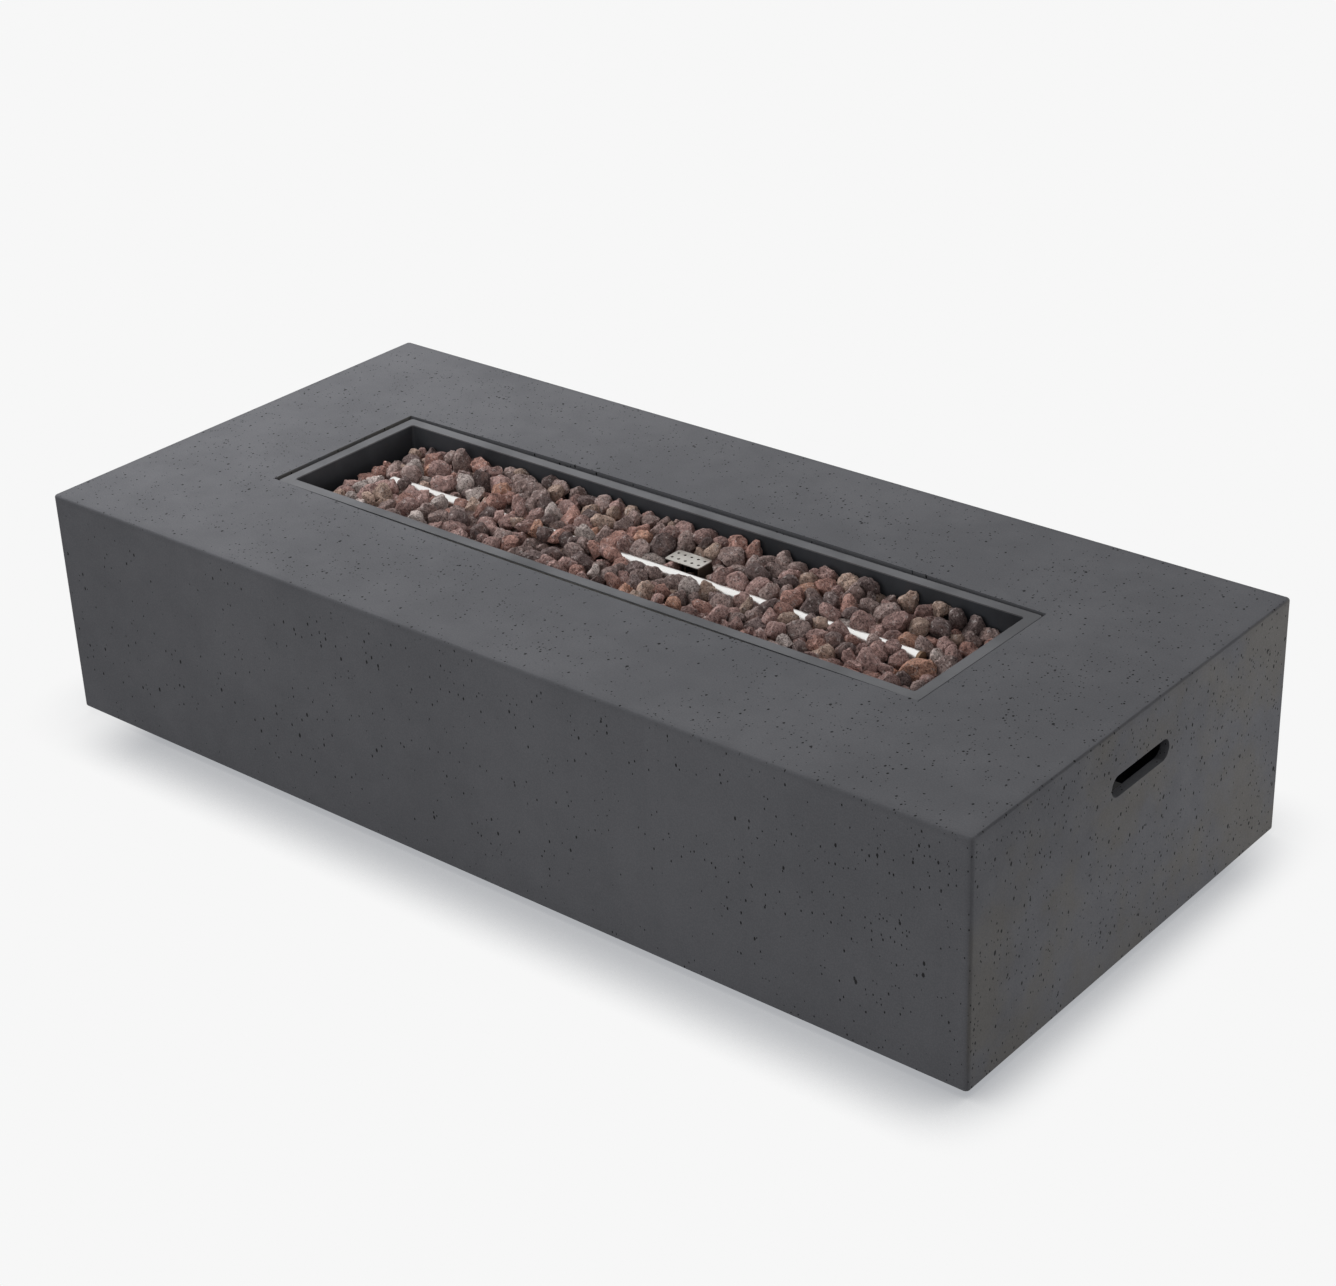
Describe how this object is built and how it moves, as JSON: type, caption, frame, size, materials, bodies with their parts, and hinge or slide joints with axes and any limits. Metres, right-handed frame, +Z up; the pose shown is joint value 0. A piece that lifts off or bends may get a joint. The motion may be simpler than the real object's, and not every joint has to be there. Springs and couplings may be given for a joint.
{
  "type": "fire pit table",
  "caption": "Low rectangular gas fire pit table: hollow cast shell with hand slots, drop-in burner pan, lava rock, rear gas control and levelling feet.",
  "frame": {"origin": "on the ground under the middle of the table", "axes": "+X along the table to the end at the picture's right, +Y to the rear where the controls are, +Z up"},
  "size_m": [1.778, 0.82, 0.4],
  "materials": {
    "concrete": "matte",
    "pan_paint": "matte",
    "stainless": "satin",
    "bright_stainless": "polished",
    "zinc_steel": "satin",
    "heat_tinted_steel": "satin",
    "brass": "satin",
    "cast_valve": "matte",
    "black_paint": "satin",
    "rubber": "matte",
    "fibre_strip": "matte",
    "porcelain": "gloss",
    "black_plastic": "satin",
    "red_silicone": "matte",
    "copper_lead": "satin",
    "battery_wrap": "gloss",
    "lava_rock": "matte"
  },
  "bodies": {
    "table": {"concrete_body": "concrete", "foot_inserts": "zinc_steel", "burner_pan": "pan_paint", "pan_rim": "pan_paint", "pan_gasket": "fibre_strip", "burner_tube": "bright_stainless", "burner_end_cap": "bright_stainless", "burner_end_plug": "heat_tinted_steel", "burner_saddles": "stainless", "saddle_screws": "zinc_steel", "burner_inlet_pipe": "stainless", "inlet_washer": "zinc_steel", "inlet_lock_nut": "zinc_steel", "air_mixer": "brass", "gas_orifice": "brass", "gas_feed_tube": "stainless", "feed_tube_nuts": "brass", "control_box": "black_paint", "control_box_screws": "zinc_steel", "control_box_inserts": "brass", "valve_body": "cast_valve", "valve_nut": "zinc_steel", "igniter_housing": "black_plastic", "igniter_nut": "black_plastic", "igniter_battery": "battery_wrap", "ignition_wire": "red_silicone", "electrode_ceramic": "porcelain", "electrode_rod": "heat_tinted_steel", "thermocouple": "heat_tinted_steel", "thermocouple_lead": "copper_lead", "pilot_bracket": "stainless", "pilot_bracket_screws": "zinc_steel", "pilot_hood": "stainless", "pilot_hood_screws": "zinc_steel", "supply_pipe": "zinc_steel", "gas_inlet_fitting": "brass", "inlet_bracket": "zinc_steel", "inlet_fitting_nut": "brass", "inlet_bracket_screws": "zinc_steel", "lava_lower_layer": "lava_rock", "lava_rocks_front_left": "lava_rock", "lava_rocks_front_right": "lava_rock", "lava_rocks_rear_left": "lava_rock", "lava_rocks_rear_right": "lava_rock"},
    "plunger": {"stem_washer": "brass", "valve_spring": "zinc_steel"},
    "knob": {"valve_stem": "zinc_steel", "control_knob": "black_plastic"},
    "button": {"igniter_button": "black_plastic", "igniter_spring": "zinc_steel"},
    "shutter": {"air_shutter": "zinc_steel", "shutter_screw": "zinc_steel"},
    "foot_front_left": {"foot_stud_front_left": "zinc_steel", "foot_pad_front_left": "rubber"},
    "foot_rear_left": {"foot_stud_rear_left": "zinc_steel", "foot_pad_rear_left": "rubber"},
    "foot_front_right": {"foot_stud_front_right": "zinc_steel", "foot_pad_front_right": "rubber"},
    "foot_rear_right": {"foot_stud_rear_right": "zinc_steel", "foot_pad_rear_right": "rubber"}
  },
  "joints": [
    {"name": "knob_push", "type": "slide", "parent": "table", "child": "plunger", "axis": [0, -1, 0], "range_m": [0, 0.003], "stiffness_N_per_m": 900, "springref_m": -0.003},
    {"name": "knob_turn", "type": "hinge", "parent": "plunger", "child": "knob", "pos_m": [0.138, 0.38, 0.215], "axis": [0, 1, 0], "range_deg": [0, 210]},
    {"name": "igniter_press", "type": "slide", "parent": "table", "child": "button", "axis": [0, -1, 0], "range_m": [0, 0.004], "stiffness_N_per_m": 600, "springref_m": -0.003},
    {"name": "air_shutter_turn", "type": "hinge", "parent": "table", "child": "shutter", "pos_m": [0, 0, 0.267], "axis": [0, 0, 1], "range_deg": [0, 60]},
    {"name": "foot_front_left_screw_out", "type": "slide", "parent": "table", "child": "foot_front_left", "axis": [0, 0, -1], "range_m": [0, 0.015]},
    {"name": "foot_rear_left_screw_out", "type": "slide", "parent": "table", "child": "foot_rear_left", "axis": [0, 0, -1], "range_m": [0, 0.015]},
    {"name": "foot_front_right_screw_out", "type": "slide", "parent": "table", "child": "foot_front_right", "axis": [0, 0, -1], "range_m": [0, 0.015]},
    {"name": "foot_rear_right_screw_out", "type": "slide", "parent": "table", "child": "foot_rear_right", "axis": [0, 0, -1], "range_m": [0, 0.015]}
  ]
}
